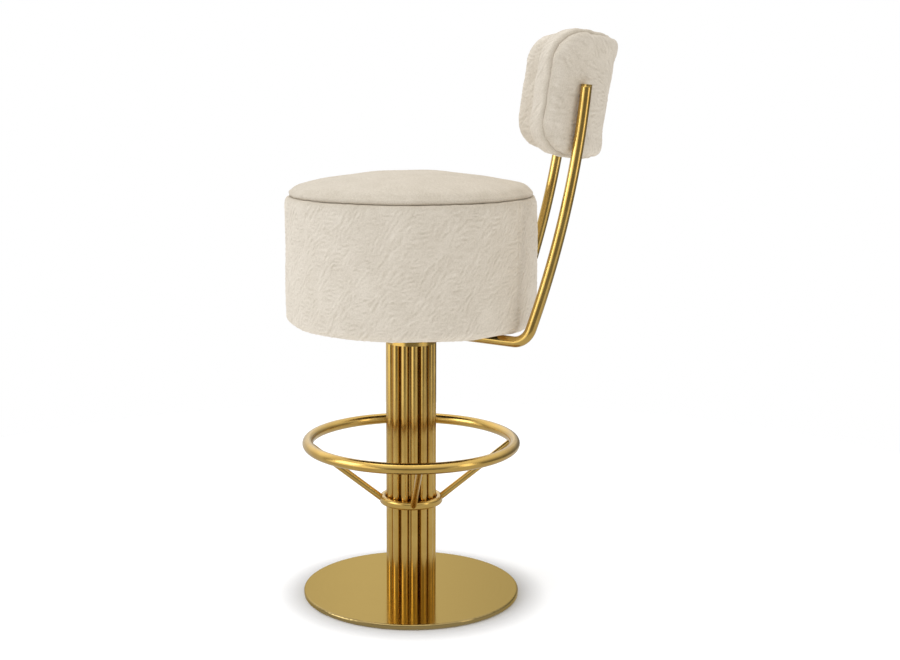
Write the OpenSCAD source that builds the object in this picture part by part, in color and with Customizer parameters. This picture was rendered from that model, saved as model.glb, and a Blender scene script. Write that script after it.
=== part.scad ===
// Swivel bar stool: drum seat with a curved back pad on a column of upright
// tubes, with a ring footrest and a round base plate. Millimetres.
// The origin is on the floor under the column's axis, +Z is up, the sitter
// faces -Y and the back pad stands at +Y.

/* [Base] */
// Diameter of the base plate
base_d = 400; // [330:5:480]
// Thickness of the base plate
base_t = 8; // [7:0.5:12]
// Rounding of the base plate's upper edge
base_edge_r = 3; // [1:0.5:4]
// Distance from the plate's rim to the rubber floor pad
floor_pad_inset = 8; // [5:1:20]
// Thickness of the rubber floor pad
floor_pad_t = 2; // [1:0.5:4]

/* [Column] */
// Number of upright tubes round the column
tube_n = 14; // [10:1:14]
// Outer diameter of an upright tube
tube_d = 14; // [12:0.5:14.5]
// Wall of an upright tube
tube_wall = 1.2; // [0.8:0.1:2]
// Turn of the first upright tube from +X
tube_turn = 8.5; // [0:0.5:25]
// Outer diameter of the tube inside the ring of upright tubes
core_d = 64; // [60:1:76]
// Wall of the inner tube
core_wall = 3; // [2:0.5:4]
// Height of the upright tubes' upper ends above the floor
column_top_z = 474; // [420:1:560]
// Thickness of the column's top plate
cap_t = 8; // [6:0.5:12]
// Height of the plug in the foot of the inner tube
plug_h = 24; // [20:1:40]

/* [Footrest] */
// Diameter of the footrest ring, centre line to centre line
ring_d = 380; // [300:5:430]
// Diameter of the footrest ring's tube
ring_tube_d = 20; // [16:1:25]
// Wall of the footrest ring's tube
ring_wall = 1.5; // [1:0.1:2.5]
// Height of the footrest ring's centre line
ring_z = 288; // [250:1:330]
// Height of the hub ring's middle
hub_z = 180; // [120:1:200]
// Radial thickness of the hub ring
hub_w = 12; // [10:0.5:16]
// Height of the hub ring
hub_h = 15; // [13:1:24]
// Rounding of the hub ring's edges
hub_edge_r = 5; // [1:0.5:5]
// Number of struts
strut_n = 4; // [3:1:6]
// Diameter of a strut
strut_d = 12; // [8:1:14]
// Turn of the first strut from +X
strut_turn = 4.5; // [0:0.5:20]

/* [Swivel] */
// Diameter of the spindle
spindle_d = 25; // [20:1:28]
// Length of the bearing housing below the column's top plate
housing_l = 78; // [50:1:110]
// Wall of the bearing housing
housing_wall = 4; // [3:0.5:5]
// Wall of a bush
bush_wall = 3; // [2:0.5:3]
// Thickness of a bush's flange
bush_flange_t = 2.5; // [2:0.5:4]
// Thickness of the thrust washer
thrust_t = 2; // [1:0.5:4]
// Diameter of the carrier under the seat
carrier_d = 150; // [140:1:180]
// Thickness of the carrier's metal above and below the back rods
carrier_web = 3; // [2.5:0.5:6]

/* [Seat] */
// Diameter of the seat
seat_d = 451; // [400:1:500]
// Height of the seat's underside above the back rods' upper side
seat_lift = 0.5; // [0.5:0.5:3]
// Height of the seat from its underside to the middle of its top
seat_h = 275.5; // [220:0.5:320]
// Radius of the crowned top
crown_r = 893; // [600:1:1200]
// Rounding between the seat's top and side
shoulder_r = 35; // [25:1:45]
// Place of the seam on the shoulder, in degrees above the side
seam_a = 28; // [10:1:50]
// Rounding between the seat's side and underside
heel_r = 18; // [10:1:22]
// Thickness of the upholstery fabric
fabric_t = 2; // [1:0.5:3]
// Thickness of the foam on the seat's side
side_foam_t = 16; // [10:1:25]
// Thickness of the foam under the middle of the seat's top
top_foam_t = 118; // [70:1:130]
// Thickness of the seat's bottom board
board_t = 18; // [15:1:25]
// Thickness of the upper board that carries the foam
deck_t = 15; // [12:1:20]
// Thickness of the seat's bent plywood wall
wall_t = 8; // [6:1:12]
// Width of the fabric that is turned under the bottom board
wrap_w = 18; // [12:1:30]
// Thickness of the dust cover
dust_t = 1; // [0.5:0.5:1.5]
// Side of a square post between the two boards
post_w = 40; // [30:1:60]

/* [Back rods] */
// Diameter of a back rod
rod_d = 19; // [16:0.5:22]
// Distance between the two back rods
rod_gap = 300; // [240:5:330]
// Distance from the seat's side to the back rods' lower corner
rod_stand_off = 22; // [18:1:40]
// Radius of the back rods' lower bend
bend_r = 33; // [26:1:45]
// Radius of the back rods' long curve
sweep_r = 1800; // [1400:50:2600]
// Lean of the back rods just above the lower bend
rod_lean = 18.6; // [12:0.1:22]
// Length of the back rods above the middle of the back pad
rod_over = 27; // [0:1:60]

/* [Back pad] */
// Radius of the back pad's outer side
pad_r = 193; // [180:1:260]
// Thickness of the back pad
pad_t = 62; // [50:1:80]
// Height of the back pad
pad_h = 218; // [160:1:280]
// Half of the back pad's arc up to its rounded ends
pad_a = 58; // [50:1:70]
// Rounding of the back pad's edges
pad_edge_r = 27; // [10:1:30]
// Lean of the back pad
pad_lean = 8; // [0:1:14]
// Height of the back pad's middle above the seat's top
pad_lift = 126; // [100:0.5:200]
// Thickness of the curved board in the back pad
pad_board_t = 10; // [6:1:12]
// Thickness of the foam behind the curved board
pad_rear_foam_t = 16; // [8:1:20]

/* [Fasteners and clearances] */
// Thread diameter of the base and carrier bolts
bolt_d = 8; // [6:1:10]
// Thread diameter of the back pad's bolts
pad_bolt_d = 6; // [5:1:8]
// Length of the back pad's bolts inside the back rods
pad_bolt_grip = 11; // [6:1:13]
// Thread diameter of the set screws
set_screw_d = 6; // [5:1:8]
// Gap between pieces that are fixed to each other
fit_gap = 0.05; // [0.02:0.01:0.1]
// Gap between pieces that turn on each other
run_gap = 0.1; // [0.05:0.05:0.3]
// Gap between the upright tubes and what is pushed over or into them
slip_gap = 0.2; // [0.1:0.05:0.5]

/* [Hidden] */
eps = 1;

// Base
plate_z = floor_pad_t;
plate_top_z = plate_z + base_t;
base_r = base_d / 2;
base_bolt_n = 4;
base_bolt_r = 0.3 * core_d;
base_bolt_head_r = bolt_d;
base_bolt_l = plug_h - 2;

// Column
tube_r = tube_d / 2;
core_r = core_d / 2;
tube_circle_r = core_r + tube_r + fit_gap;
column_r = tube_circle_r + tube_r;
cap_z = column_top_z;
cap_top_z = cap_z + cap_t;
cap_edge_r = 1.5;

// Footrest
hub_in_r = column_r + slip_gap;
hub_mid_r = hub_in_r + hub_w / 2;
hub_r = hub_in_r + hub_w;
ring_r = ring_d / 2;
strut_rise = ring_z - hub_z;
strut_run = ring_r - hub_mid_r;
// Upright tubes that the hub's set screws press on, at the back of the column
screw_tubes = [round(0.36 * tube_n), round(0.64 * tube_n)];

// Swivel: spindle and bushes inside, carrier on top
spindle_r = spindle_d / 2;
bush_in_r = spindle_r + run_gap / 2;
bush_r = bush_in_r + bush_wall;
bush_l = 22;
housing_in_r = bush_r + fit_gap;
housing_r = housing_in_r + housing_wall;
flange_r = housing_r;
housing_foot_z = cap_z - housing_l;
thrust_z = cap_top_z + bush_flange_t;
carrier_z = thrust_z + thrust_t + run_gap;
carrier_r = carrier_d / 2;
rod_r = rod_d / 2;
rod_z = carrier_z + carrier_web + rod_r;
seat_z = rod_z + rod_r + seat_lift;
board_z = seat_z + fabric_t;
carrier_h = board_z - carrier_z;
spindle_head_r = spindle_r + 8;
spindle_head_t = 5;
washer_t = 1.5;
washer_z = housing_foot_z - bush_flange_t - run_gap - washer_t;
clip_t = 1.5;
clip_z = washer_z - clip_t;
clip_depth = 1.5;
clip_proud = 3;
spindle_tail = 5;
spindle_foot_z = clip_z - spindle_tail;
carrier_bolt_n = 4;
carrier_bolt_r = 0.35 * carrier_d;
carrier_bolt_head_h = bolt_d;
carrier_bolt_head_r = 0.8 * bolt_d;
head_sink = 0.5;
tee_barrel_r = bolt_d / 2 + 1.2;
tee_barrel_l = board_t - 4;
tee_flange_r = bolt_d + 3;
tee_flange_t = 1.5;

// Seat
seat_r = seat_d / 2;
seat_top_z = seat_z + seat_h;
crown_c = [0, seat_top_z - crown_r];
shoulder_c_r = seat_r - shoulder_r;
shoulder_c_z = crown_c[1] + sqrt(pow(crown_r - shoulder_r, 2) - pow(shoulder_c_r, 2));
shoulder_c = [shoulder_c_r, shoulder_c_z];
shoulder_end_a = atan2(shoulder_c_z - crown_c[1], shoulder_c_r);
heel_c = [seat_r - heel_r, seat_z + heel_r];
deck_top_z = seat_top_z - fabric_t - top_foam_t;
deck_z = deck_top_z - deck_t;
wall_r = seat_r - max(fabric_t + side_foam_t, heel_r);
board_r = wall_r - wall_t;
wrap_r = seat_r - heel_r - wrap_w;
post_n = 4;
post_r = 0.65 * board_r;

// Back rods: the corner point joins the level run and the leaning stretch
corner_rr = seat_r + rod_stand_off;
corner_x = rod_gap / 2;
corner_y = sqrt(pow(corner_rr, 2) - pow(corner_x, 2));
corner = [corner_x, corner_y, rod_z];
run_dir = [corner_x / corner_rr, corner_y / corner_rr, 0];
lean_dir = [0, sin(rod_lean), cos(rod_lean)];
bend_a = acos(run_dir * lean_dir);
bend_tangent = bend_r * tan(bend_a / 2);
bend_start = corner - bend_tangent * run_dir;
bend_end = corner + bend_tangent * lean_dir;
bend_in = (lean_dir - cos(bend_a) * run_dir) / sin(bend_a);
rod_seat_r = carrier_r - 39;
rod_top_z = seat_top_z + pad_lift + rod_over;
rod_sides = 24;
bend_steps = 10;
sweep_steps = 14;
// Lean of the rods' centre line at height z
function lean_at(z) = asin(sin(rod_lean) - (z - bend_end[2]) / sweep_r);
// Distance of the rods' centre line behind the column's axis at height z
function rod_y_at(z) = bend_end[1] + sweep_r * (cos(lean_at(z)) - cos(rod_lean));

// Back pad: placed so that its outer side touches the two rods at their upper ends
pad_mid_r = pad_r - pad_t / 2;
pad_z = seat_top_z + pad_lift + pad_r * sin(pad_lean);
touch_z = rod_top_z;
rod_pad_r = pad_r + rod_r + slip_gap;
touch_y = sqrt(pow(rod_pad_r, 2) - pow(corner_x, 2));
touch_rise = touch_z - pad_z + touch_y * sin(pad_lean);
pad_y = rod_y_at(touch_z) - touch_y * cos(pad_lean) - touch_rise * tan(pad_lean);
pad_board_out_r = pad_r - fabric_t - pad_rear_foam_t;
pad_board_in_r = pad_board_out_r - pad_board_t;
pad_board_a = pad_a - 3;
pad_board_h = pad_h - pad_edge_r - 15;
pad_bolt_drops = [20, 88];
pad_bolt_head_r = pad_bolt_d;
pad_bolt_head_t = 3.5;
pad_bolt_head_in_r = pad_board_in_r - slip_gap - pad_bolt_head_t;
pad_bolt_end_r = pad_r + slip_gap + pad_bolt_grip;
// A point [y, z] in the back pad's own upright frame
function in_pad(y, z) = [
    (y - pad_y) * cos(pad_lean) - (z - pad_z) * sin(pad_lean),
    (y - pad_y) * sin(pad_lean) + (z - pad_z) * cos(pad_lean)
];

brass = [0.80, 0.62, 0.28];
steel = [0.70, 0.70, 0.72];
zinc = [0.62, 0.62, 0.60];
nylon = [0.92, 0.91, 0.86];
rubber = [0.12, 0.12, 0.12];
plywood = [0.76, 0.62, 0.42];
foam = [0.95, 0.91, 0.70];
cream = [0.88, 0.83, 0.76];
black_cloth = [0.16, 0.16, 0.17];

function two_digits(i) = str(i < 10 ? "0" : "", i);
TUBES = [for (i = [1:tube_n]) str("column_tube_", two_digits(i))];
STRUTS = [for (i = [1:strut_n]) str("footrest_strut_", i)];

// ---------- shared shapes ----------

// Copies the children n times round the Z axis, the first one turned by a
module around(n, a = 0) {
    for (i = [0:n - 1])
        rotate([0, 0, a + i * 360 / n]) children();
}

// A round tube or ring standing on z
module pipe(r_out, r_in, z, h) {
    translate([0, 0, z])
        difference() {
            cylinder(r = r_out, h = h, $fn = 96);
            translate([0, 0, -eps]) cylinder(r = r_in, h = h + 2 * eps, $fn = 96);
        }
}

// A rectangle with round corners, centred on the origin
module round_rect(w, h, r) {
    square([w - 2 * r, h], center = true);
    square([w, h - 2 * r], center = true);
    for (x = [-1, 1], y = [-1, 1])
        translate([x * (w / 2 - r), y * (h / 2 - r)]) circle(r = r, $fn = 48);
}

// Points of an arc
function arc(c, r, a0, a1, n) = [
    for (i = [0:n])
        let (a = a0 + (a1 - a0) * i / n)
        [c[0] + r * cos(a), c[1] + r * sin(a)]
];

// ---------- base ----------

module floor_pad() {
    color(rubber) cylinder(r = base_r - floor_pad_inset, h = floor_pad_t, $fn = 120);
}

module base_bolt_holes(r, z, h) {
    around(base_bolt_n, 45)
        translate([base_bolt_r, 0, z]) cylinder(r = r, h = h, $fn = 48);
}

// The countersunk head's cone, opened by gap
module base_bolt_cone(gap) {
    cone_h = base_bolt_head_r - bolt_d / 2;
    around(base_bolt_n, 45)
        translate([base_bolt_r, 0, plate_z])
            cylinder(r1 = base_bolt_head_r + gap, r2 = bolt_d / 2 + gap, h = cone_h, $fn = 48);
}

module base_plate() {
    color(brass)
        difference() {
            rotate_extrude($fn = 180) {
                translate([0, plate_z]) square([base_r - base_edge_r, base_t]);
                translate([0, plate_z]) square([base_r, base_t - base_edge_r]);
                translate([base_r - base_edge_r, plate_top_z - base_edge_r])
                    circle(r = base_edge_r, $fn = 48);
            }
            base_bolt_holes(bolt_d / 2 + slip_gap, plate_z - eps, base_t + 2 * eps);
            base_bolt_cone(slip_gap);
        }
}

module base_bolts() {
    color(steel) {
        base_bolt_cone(0);
        base_bolt_holes(bolt_d / 2, plate_z, base_t + base_bolt_l - 3);
    }
}

// ---------- column ----------

module column_plug() {
    color(zinc)
        difference() {
            translate([0, 0, plate_top_z])
                cylinder(r = core_r - core_wall - fit_gap, h = plug_h, $fn = 96);
            base_bolt_holes(bolt_d / 2 + fit_gap, plate_top_z - eps, base_bolt_l + eps);
        }
}

module column_core() {
    color(brass) pipe(core_r, core_r - core_wall, plate_top_z, column_top_z - plate_top_z);
}

module column_tube(i) {
    color(brass)
        rotate([0, 0, tube_turn + (i - 1) * 360 / tube_n])
            translate([tube_circle_r, 0, 0])
                pipe(tube_r, tube_r - tube_wall, plate_top_z, column_top_z - plate_top_z);
}

module column_cap() {
    color(brass)
        difference() {
            rotate_extrude($fn = 96) {
                translate([0, cap_z]) square([column_r - cap_edge_r, cap_t]);
                translate([0, cap_z]) square([column_r, cap_t - cap_edge_r]);
                translate([column_r - cap_edge_r, cap_top_z - cap_edge_r])
                    circle(r = cap_edge_r, $fn = 32);
            }
            translate([0, 0, cap_z - eps])
                cylinder(r = housing_r + fit_gap, h = cap_t + 2 * eps, $fn = 96);
        }
}

// ---------- swivel ----------

module bearing_housing() {
    color(steel) pipe(housing_r, housing_in_r, housing_foot_z, housing_l + cap_t);
}

module lower_bush() {
    color(nylon) {
        pipe(bush_r, bush_in_r, housing_foot_z, bush_l);
        pipe(flange_r, bush_in_r, housing_foot_z - bush_flange_t, bush_flange_t);
    }
}

module upper_bush() {
    color(nylon) {
        pipe(bush_r, bush_in_r, cap_top_z - bush_l, bush_l);
        pipe(flange_r, bush_in_r, cap_top_z, bush_flange_t);
    }
}

module thrust_washer() {
    color(nylon) pipe(flange_r, bush_in_r, thrust_z, thrust_t);
}

module spindle() {
    color(steel)
        difference() {
            union() {
                translate([0, 0, spindle_foot_z])
                    cylinder(r = spindle_r, h = board_z - spindle_foot_z, $fn = 96);
                translate([0, 0, board_z - spindle_head_t])
                    cylinder(r = spindle_head_r, h = spindle_head_t, $fn = 96);
            }
            pipe(spindle_r + eps, spindle_r - clip_depth, clip_z, clip_t);
        }
}

module spindle_washer() {
    color(steel) pipe(flange_r, spindle_r + fit_gap, washer_z, washer_t);
}

// A snap ring that is open on one side
module spindle_clip() {
    clip_r = spindle_r + clip_proud;
    color(steel)
        difference() {
            pipe(clip_r, spindle_r - clip_depth, clip_z, clip_t);
            translate([0, -3, clip_z - eps]) cube([clip_r + eps, 6, clip_t + 2 * eps]);
        }
}

// ---------- footrest ----------

module ring_solid() {
    translate([0, 0, ring_z])
        rotate_extrude($fn = 180) translate([ring_r, 0]) circle(d = ring_tube_d, $fn = 64);
}

module hub_solid() {
    translate([0, 0, hub_z])
        rotate_extrude($fn = 120) translate([hub_mid_r, 0]) round_rect(hub_w, hub_h, hub_edge_r);
}

module hub_screw_rods(r, r0, r1) {
    for (k = screw_tubes)
        rotate([0, 0, tube_turn + k * 360 / tube_n])
            translate([r0, 0, hub_z])
                rotate([0, 90, 0]) cylinder(r = r, h = r1 - r0, $fn = 32);
}

module footrest_ring() {
    color(brass)
        translate([0, 0, ring_z])
            rotate_extrude($fn = 180)
                translate([ring_r, 0])
                    difference() {
                        circle(d = ring_tube_d, $fn = 64);
                        circle(d = ring_tube_d - 2 * ring_wall, $fn = 64);
                    }
}

module footrest_hub() {
    color(brass)
        difference() {
            hub_solid();
            hub_screw_rods(set_screw_d / 2 + fit_gap, hub_in_r - eps, hub_r + eps);
        }
}

module hub_screws() {
    color(steel) hub_screw_rods(set_screw_d / 2, column_r + fit_gap, hub_r - 1);
}

module footrest_strut(i) {
    color(brass)
        difference() {
            rotate([0, 0, strut_turn + (i - 1) * 360 / strut_n])
                translate([hub_mid_r, 0, hub_z])
                    rotate([0, atan2(strut_run, strut_rise), 0])
                        cylinder(d = strut_d, h = norm([strut_run, strut_rise]), $fn = 48);
            ring_solid();
            hub_solid();
        }
}

// ---------- seat carrier ----------

// Copies the children, which are made for the +X side, to both sides
module both_sides() {
    children();
    mirror([1, 0, 0]) children();
}

// A straight round bar of radius r along the +X side's level run
module run_bar(r, r0, r1) {
    translate([0, 0, rod_z])
        rotate([0, 0, atan2(run_dir[1], run_dir[0])])
            translate([r0, 0, 0])
                rotate([0, 90, 0]) cylinder(r = r, h = r1 - r0, $fn = 96);
}

module carrier_bolt_rods(r, z0, z1) {
    around(carrier_bolt_n)
        translate([carrier_bolt_r, 0, z0]) cylinder(r = r, h = z1 - z0, $fn = 48);
}

module seat_carrier() {
    color(brass)
        difference() {
            rotate_extrude($fn = 120) {
                translate([0, carrier_z]) square([carrier_r - cap_edge_r, carrier_h]);
                translate([0, carrier_z + cap_edge_r]) square([carrier_r, carrier_h - cap_edge_r]);
                translate([carrier_r - cap_edge_r, carrier_z + cap_edge_r])
                    circle(r = cap_edge_r, $fn = 32);
            }
            translate([0, 0, carrier_z - eps])
                cylinder(r = spindle_r + fit_gap, h = carrier_h + 2 * eps, $fn = 96);
            translate([0, 0, board_z - spindle_head_t - fit_gap])
                cylinder(r = spindle_head_r + fit_gap, h = spindle_head_t + eps, $fn = 96);
            both_sides() run_bar(rod_r + fit_gap, rod_seat_r, carrier_r + eps);
            carrier_bolt_rods(bolt_d / 2 + slip_gap, carrier_z - eps, board_z + eps);
            carrier_bolt_rods(
                carrier_bolt_head_r + slip_gap, carrier_z - eps, carrier_z + head_sink + carrier_bolt_head_h);
        }
}

module carrier_bolts() {
    head_z = carrier_z + head_sink;
    color(steel) {
        carrier_bolt_rods(carrier_bolt_head_r, head_z, head_z + carrier_bolt_head_h);
        carrier_bolt_rods(bolt_d / 2, head_z, board_z + board_t);
    }
}

module tee_nuts() {
    top_z = board_z + board_t;
    color(zinc)
        difference() {
            union() {
                carrier_bolt_rods(tee_barrel_r, top_z - tee_barrel_l, top_z);
                carrier_bolt_rods(tee_flange_r, top_z, top_z + tee_flange_t);
            }
            carrier_bolt_rods(bolt_d / 2 + fit_gap, top_z - tee_barrel_l - eps, top_z + tee_flange_t + eps);
        }
}

// ---------- seat ----------

// Half outline of the drum, inset by t
function drum(t) = concat(
    [[0, seat_z + t]],
    arc(heel_c, heel_r - t, -90, 0, 10),
    arc(shoulder_c, shoulder_r - t, 0, shoulder_end_a, 14),
    [for (i = [1:12])
        let (a = shoulder_end_a + (90 - shoulder_end_a) * i / 12)
        crown_c + (crown_r - t) * [cos(a), sin(a)]]
);

module half_drum(t) {
    polygon(drum(t));
}

// Everything above the seam on the shoulder
module above_seam() {
    far = seat_h;
    polygon([
        shoulder_c,
        shoulder_c + far * [cos(seam_a), sin(seam_a)],
        [0, seat_top_z + far],
        [0, shoulder_c_z]
    ]);
}

module seat_board() {
    color(plywood)
        difference() {
            translate([0, 0, board_z]) cylinder(r = board_r - fit_gap, h = board_t, $fn = 120);
            carrier_bolt_rods(tee_barrel_r + fit_gap, board_z - eps, board_z + board_t + eps);
        }
}

module seat_wall() {
    color(plywood) pipe(wall_r, board_r, board_z, deck_z - board_z);
}

module deck_posts() {
    foot_z = board_z + board_t;
    color(plywood)
        around(post_n, 45)
            translate([post_r - post_w / 2, -post_w / 2, foot_z])
                cube([post_w, post_w, deck_z - foot_z]);
}

module seat_deck() {
    color(plywood) translate([0, 0, deck_z]) cylinder(r = wall_r, h = deck_t, $fn = 120);
}

module side_foam() {
    color(foam)
        rotate_extrude($fn = 120)
            intersection() {
                half_drum(fabric_t + slip_gap);
                translate([wall_r + fit_gap, seat_z]) square([seat_r, deck_top_z - fit_gap - seat_z]);
            }
}

module top_foam() {
    color(foam)
        rotate_extrude($fn = 120)
            intersection() {
                half_drum(fabric_t + slip_gap);
                translate([0, deck_top_z]) square([seat_r, top_foam_t]);
            }
}

module side_cover() {
    color(cream)
        rotate_extrude($fn = 120)
            difference() {
                half_drum(0);
                half_drum(fabric_t);
                square([wrap_r, seat_z + heel_r]);
                above_seam();
            }
}

module top_cover() {
    color(cream)
        rotate_extrude($fn = 120)
            intersection() {
                difference() {
                    half_drum(0);
                    half_drum(fabric_t);
                }
                above_seam();
            }
}

module dust_cover() {
    color(black_cloth) pipe(wrap_r - slip_gap, carrier_r + slip_gap, board_z - dust_t, dust_t);
}

// ---------- back rods ----------

// Centre and direction of the rod's centre line, i / bend_steps along the lower bend
function bend_station(i) =
    let (a = bend_a * i / bend_steps)
    [
        bend_start + bend_r * (sin(a) * run_dir + (1 - cos(a)) * bend_in),
        cos(a) * run_dir + sin(a) * bend_in
    ];

// The same along the long curve, by height
function sweep_station(i) =
    let (z = bend_end[2] + (rod_top_z - bend_end[2]) * i / sweep_steps, a = lean_at(z))
    [[corner_x, rod_y_at(z), z], [0, sin(a), cos(a)]];

// A round section across the rod at a station [centre, direction]
function rod_ring(station) =
    let (t = station[1], across = [1, 0, 0] - t[0] * t, u = across / norm(across), v = cross(t, u))
    [
        for (k = [0:rod_sides - 1])
            let (a = 360 * k / rod_sides)
            station[0] + rod_r * (cos(a) * u + sin(a) * v)
    ];

// The +X side's rod: level run, lower bend and long curve
module rod_bar() {
    stations = concat(
        [[run_dir * (rod_seat_r + run_gap) + [0, 0, rod_z], run_dir]],
        [for (i = [0:bend_steps]) bend_station(i)],
        [for (i = [1:sweep_steps]) sweep_station(i)]
    );
    n = rod_sides;
    last = len(stations) - 1;
    polyhedron(
        points = [for (s = stations) each rod_ring(s)],
        faces = concat(
            [[for (k = [0:n - 1]) k]],
            [
                for (i = [0:last - 1], k = [0:n - 1])
                    let (m = (k + 1) % n)
                    [i * n + k, (i + 1) * n + k, (i + 1) * n + m, i * n + m]
            ],
            [[for (k = [0:n - 1]) last * n + n - 1 - k]]
        )
    );
}

module back_rod_left() {
    color(brass)
        difference() {
            rod_bar();
            pad_bolt_rods(pad_bolt_d / 2 + fit_gap, pad_r - eps, pad_bolt_end_r);
        }
}

module back_rod_right() {
    mirror([1, 0, 0]) back_rod_left();
}

// ---------- back pad ----------

// The pad's own frame: upright axis of its curve, leaning back
module pad_frame() {
    translate([0, pad_y, pad_z]) rotate([-pad_lean, 0, 0]) children();
}

// Sweeps a section, drawn at its radius, over 2 * a degrees round the pad's axis
module pad_sweep(a) {
    rotate([0, 0, 90 - a]) rotate_extrude(angle = 2 * a, $fn = 180) children();
}

// Turns half of a section, drawn round its middle, into a drum at each end of the pad
module pad_ends() {
    both_sides()
        rotate([0, 0, -pad_a])
            translate([0, pad_mid_r, 0])
                rotate_extrude($fn = 96)
                    intersection() {
                        children();
                        translate([0, -pad_h]) square([pad_t, 2 * pad_h]);
                    }
}

// The pad's section inset by t, drawn round its middle
module pad_section(t) {
    round_rect(pad_t - 2 * t, pad_h - 2 * t, pad_edge_r - t);
}

// The whole pad inset by t
module pad_solid(t) {
    pad_sweep(pad_a) translate([pad_mid_r, 0]) pad_section(t);
    pad_ends() pad_section(t);
}

// Everything on the outer side of the pad's seam, between its rounded ends
module outside_pad_seam() {
    pad_sweep(pad_a)
        translate([pad_r - pad_edge_r, -pad_h]) square([pad_edge_r + eps, 2 * pad_h]);
}

// The +X side's bolts from the curved board into the rod
module pad_bolt_rods(r, r0, r1) {
    for (drop = pad_bolt_drops) {
        z = rod_top_z - drop;
        at = in_pad(rod_y_at(z), z);
        pad_frame()
            translate([0, 0, at[1]])
                rotate([0, 0, -atan2(corner_x, at[0])])
                    rotate([-90, 0, 0])
                        translate([0, 0, r0]) cylinder(r = r, h = r1 - r0, $fn = 32);
    }
}

module pad_bolts() {
    color(steel)
        both_sides() {
            pad_bolt_rods(pad_bolt_head_r, pad_bolt_head_in_r, pad_board_in_r - slip_gap);
            pad_bolt_rods(pad_bolt_d / 2, pad_bolt_head_in_r, pad_bolt_end_r - slip_gap);
        }
}

module back_board() {
    color(plywood)
        difference() {
            pad_frame()
                pad_sweep(pad_board_a)
                    translate([pad_board_in_r, -pad_board_h / 2])
                        square([pad_board_t, pad_board_h]);
            both_sides()
                pad_bolt_rods(pad_bolt_d / 2 + slip_gap, pad_board_in_r - 5, pad_board_out_r + 5);
        }
}

module back_foam() {
    color(foam)
        difference() {
            pad_frame() pad_solid(fabric_t + slip_gap);
            pad_frame()
                pad_sweep(pad_board_a + 0.1)
                    translate([pad_board_in_r - slip_gap, -pad_board_h / 2 - slip_gap])
                        square([pad_board_t + 2 * slip_gap, pad_board_h + 2 * slip_gap]);
            both_sides() {
                pad_bolt_rods(pad_bolt_head_r + slip_gap, pad_bolt_head_in_r - slip_gap, pad_board_in_r + 1);
                pad_bolt_rods(pad_bolt_d / 2 + slip_gap, pad_board_in_r, pad_r);
            }
        }
}

module back_front_cover() {
    color(cream)
        pad_frame()
            difference() {
                pad_solid(0);
                pad_solid(fabric_t);
                outside_pad_seam();
            }
}

module back_rear_cover() {
    color(cream)
        difference() {
            pad_frame()
                pad_sweep(pad_a)
                    translate([pad_mid_r, 0])
                        difference() {
                            pad_section(0);
                            pad_section(fabric_t);
                            translate([-pad_t, -pad_h]) square([1.5 * pad_t - pad_edge_r, 2 * pad_h]);
                        }
            both_sides() pad_bolt_rods(pad_bolt_d / 2 + slip_gap, pad_r - pad_edge_r, pad_r + eps);
        }
}

floor_pad();
base_plate();
base_bolts();
column_plug();
column_core();
for (i = [1:tube_n])
    column_tube(i);
column_cap();
bearing_housing();
lower_bush();
upper_bush();
thrust_washer();
footrest_ring();
footrest_hub();
hub_screws();
for (i = [1:strut_n])
    footrest_strut(i);
spindle();
spindle_washer();
spindle_clip();
seat_carrier();
carrier_bolts();
tee_nuts();
seat_board();
seat_wall();
deck_posts();
seat_deck();
side_foam();
top_foam();
side_cover();
top_cover();
dust_cover();
back_rod_left();
back_rod_right();
back_board();
back_foam();
back_front_cover();
back_rear_cover();
pad_bolts();
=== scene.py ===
import logging
import math
from dataclasses import dataclass, field
from enum import Enum
from typing import Callable, Iterable

import bmesh
import bpy
import numpy as np
from bpy.types import Material, Mesh, Node, NodeSocket, NodeTree, Object
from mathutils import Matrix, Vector
from mathutils.kdtree import KDTree


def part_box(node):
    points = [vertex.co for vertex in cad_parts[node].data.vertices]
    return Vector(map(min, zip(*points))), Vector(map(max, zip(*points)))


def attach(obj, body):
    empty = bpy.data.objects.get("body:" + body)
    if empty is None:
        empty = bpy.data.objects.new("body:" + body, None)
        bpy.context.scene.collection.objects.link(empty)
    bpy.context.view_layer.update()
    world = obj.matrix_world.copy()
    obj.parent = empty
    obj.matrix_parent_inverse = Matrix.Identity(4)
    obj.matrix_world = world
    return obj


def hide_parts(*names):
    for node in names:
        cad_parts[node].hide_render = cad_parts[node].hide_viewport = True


# Looks of a swivel bar stool: drum seat and curved back pad in cream boucle, two bent brass rods,
# a column of upright brass tubes, a ring footrest and a round base plate. Metres, in the frame of
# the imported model: the origin is on the floor under the column's axis, +Z is up, the sitter faces
# -Y and the back pad stands at +Y.

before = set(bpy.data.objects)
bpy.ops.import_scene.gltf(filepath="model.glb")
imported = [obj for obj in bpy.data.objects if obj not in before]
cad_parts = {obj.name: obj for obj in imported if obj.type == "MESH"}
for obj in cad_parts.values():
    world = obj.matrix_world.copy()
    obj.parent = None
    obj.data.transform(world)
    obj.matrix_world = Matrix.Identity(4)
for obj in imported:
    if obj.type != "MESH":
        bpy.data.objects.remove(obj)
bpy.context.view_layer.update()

LOG = logging.getLogger("bar_stool")
MM = 0.001


class Body(Enum):
    """The two rigid bodies of the stool."""

    PEDESTAL = "pedestal"
    SEAT = "seat"


# ---------------------------------------------------------------------------- numbers and meshes


def linear(hex_code: str) -> tuple[float, float, float, float]:
    """Turns an sRGB colour into a linear one.

    Args:
        hex_code: The colour as six hex digits, with a leading #.

    Returns:
        Red, green, blue and alpha for a shader socket.
    """
    channels = [int(hex_code[i:i + 2], 16) / 255 for i in (1, 3, 5)]
    low = [c / 12.92 if c <= 0.04045 else ((c + 0.055) / 1.055) ** 2.4 for c in channels]
    return (*low, 1.0)


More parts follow.
